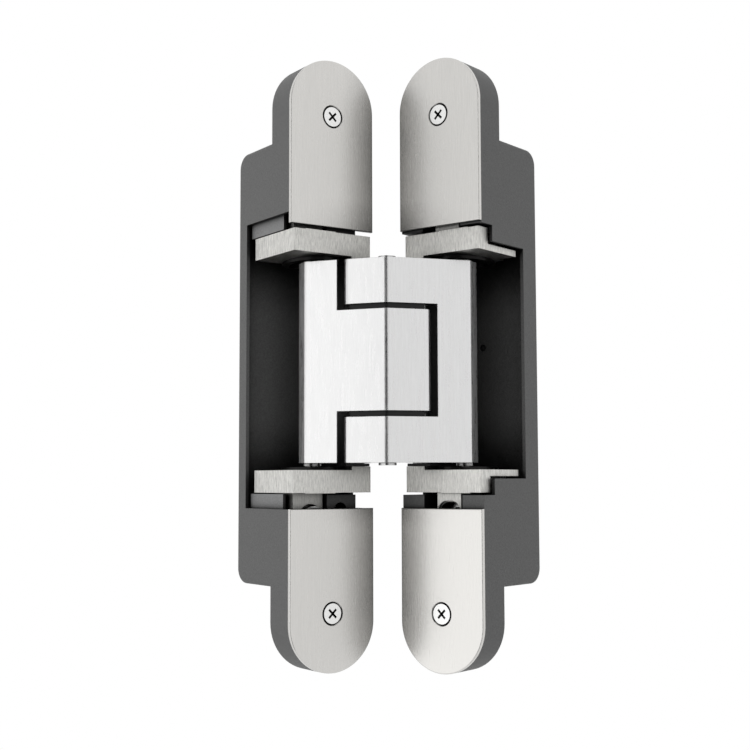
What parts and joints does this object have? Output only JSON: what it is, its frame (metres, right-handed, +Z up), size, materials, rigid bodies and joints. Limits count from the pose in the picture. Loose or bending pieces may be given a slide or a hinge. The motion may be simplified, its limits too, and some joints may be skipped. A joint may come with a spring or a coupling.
{
  "type": "concealed door hinge",
  "caption": "Concealed door hinge with two round-ended leaves, interlocking folding arms and height, side and depth adjusters, shown partly open.",
  "frame": {"origin": "middle of the frame leaf's four fixing holes, in the plane where its end flanges seat", "axes": "+Z up along the hinge, +X across the frame leaf's face towards the arms' knuckle, +Y into the frame leaf"},
  "size_m": [0.0804, 0.0715, 0.2],
  "materials": {
    "cast_housing": "matt, powder-like cast surface",
    "satin_cover": "satin, brushed lengthwise",
    "brushed_carrier": "coarsely brushed",
    "satin_arm": "satin",
    "bright_screw": "bright plated",
    "bright_pin": "ground steel",
    "black_plastic": "matt black",
    "dark_block": "dark, satin",
    "grey_cheek": "grey, matt"
  },
  "bodies": {
    "frame_leaf": {"frame_housing": "cast_housing", "frame_cover_top": "satin_cover", "frame_cover_bottom": "satin_cover", "frame_cover_screw_top": "bright_screw", "frame_cover_screw_bottom": "bright_screw", "spindle_nut_top": "dark_block", "spindle_nut_bottom": "dark_block"},
    "frame_slide": {"slide_block_top": "dark_block", "slide_block_bottom": "dark_block", "slide_cheek_top": "grey_cheek", "slide_cheek_bottom": "grey_cheek", "frame_clamp_screw_top": "bright_screw", "frame_clamp_screw_bottom": "bright_screw", "frame_clamp_nut_top": "bright_screw", "frame_clamp_nut_bottom": "bright_screw"},
    "side_screw_top": {"side_screw_top": "bright_screw"},
    "side_screw_bottom": {"side_screw_bottom": "bright_screw"},
    "height_spindle_top": {"height_spindle_top": "bright_screw"},
    "height_spindle_bottom": {"height_spindle_bottom": "bright_screw"},
    "frame_carriage": {"frame_carrier_top": "brushed_carrier", "frame_carrier_bottom": "brushed_carrier", "frame_track_top": "black_plastic", "frame_track_bottom": "black_plastic", "frame_pivot_plate_top": "black_plastic", "frame_pivot_plate_bottom": "black_plastic", "pivot_pin_frame": "bright_pin"},
    "door_side_arm": {"arm_door_side": "satin_arm", "guide_pin_door": "bright_pin"},
    "frame_side_arm": {"arm_frame_side": "satin_arm", "guide_pin_frame": "bright_pin", "centre_pin": "bright_pin", "tongue_spacer_top": "black_plastic", "tongue_spacer_bottom": "black_plastic"},
    "door_carriage": {"door_carrier_top": "brushed_carrier", "door_carrier_bottom": "brushed_carrier", "door_track_top": "black_plastic", "door_track_bottom": "black_plastic", "door_pivot_plate_top": "black_plastic", "door_pivot_plate_bottom": "black_plastic", "pivot_pin_door": "bright_pin"},
    "door_leaf": {"door_housing": "cast_housing", "door_cover_top": "satin_cover", "door_cover_bottom": "satin_cover", "door_cover_screw_top": "bright_screw", "door_cover_screw_bottom": "bright_screw", "door_clamp_screw_top": "bright_screw", "door_clamp_screw_bottom": "bright_screw"}
  },
  "joints": [
    {"name": "height_adjustment", "type": "slide", "parent": "frame_leaf", "child": "frame_slide", "axis": [0, 0, 1], "range_m": [-0.0048, 0.0012]},
    {"name": "side_adjustment", "type": "slide", "parent": "frame_slide", "child": "frame_carriage", "axis": [0, 1, 0], "range_m": [-0.003, 0.003]},
    {"name": "fold_frame_pivot", "type": "hinge", "parent": "frame_carriage", "child": "door_side_arm", "pos_m": [0.0121, -0.0082, 0], "axis": [0, 0, 1], "range_deg": [-69.12, 47.88]},
    {"name": "fold_centre_pivot", "type": "hinge", "parent": "door_side_arm", "child": "frame_side_arm", "pos_m": [0.01304, -0.02439, 0], "axis": [0, 0, 1], "range_deg": [-22.11, 31.91]},
    {"name": "fold_door_pivot", "type": "hinge", "parent": "frame_side_arm", "child": "door_carriage", "pos_m": [0.02884, -0.02074, 0], "axis": [0, 0, 1], "range_deg": [-69.13, 47.89]},
    {"name": "depth_adjustment", "type": "slide", "parent": "door_carriage", "child": "door_leaf", "axis": [0.2813, -0.9596, 0], "range_m": [-0.001, 0.001]},
    {"name": "side_screw_turn_top", "type": "hinge", "parent": "frame_slide", "child": "side_screw_top", "pos_m": [-0.0057, -0.0001, 0.0504], "axis": [0, 1, 0], "range_deg": [-541, 541]},
    {"name": "side_screw_turn_bottom", "type": "hinge", "parent": "frame_slide", "child": "side_screw_bottom", "pos_m": [-0.0057, -0.0001, -0.0504], "axis": [0, 1, 0], "range_deg": [-541, 541]},
    {"name": "height_spindle_turn_top", "type": "hinge", "parent": "frame_slide", "child": "height_spindle_top", "pos_m": [0.0049, -0.0016, 0.05], "axis": [0, 0, 1], "range_deg": [-865, 217]},
    {"name": "height_spindle_turn_bottom", "type": "hinge", "parent": "frame_slide", "child": "height_spindle_bottom", "pos_m": [0.0049, -0.0016, -0.05], "axis": [0, 0, 1], "range_deg": [-865, 217]}
  ],
  "couplings": [
    {"joint": "fold_centre_pivot", "follows": "fold_frame_pivot", "ratio": -0.46154},
    {"joint": "fold_door_pivot", "follows": "fold_frame_pivot", "ratio": 1},
    {"joint": "side_screw_turn_top", "follows": "side_adjustment", "rad_per_m": 3141.6},
    {"joint": "side_screw_turn_bottom", "follows": "side_adjustment", "rad_per_m": 3141.6},
    {"joint": "height_spindle_turn_top", "follows": "height_adjustment", "rad_per_m": 3141.6},
    {"joint": "height_spindle_turn_bottom", "follows": "height_adjustment", "rad_per_m": 3141.6}
  ]
}
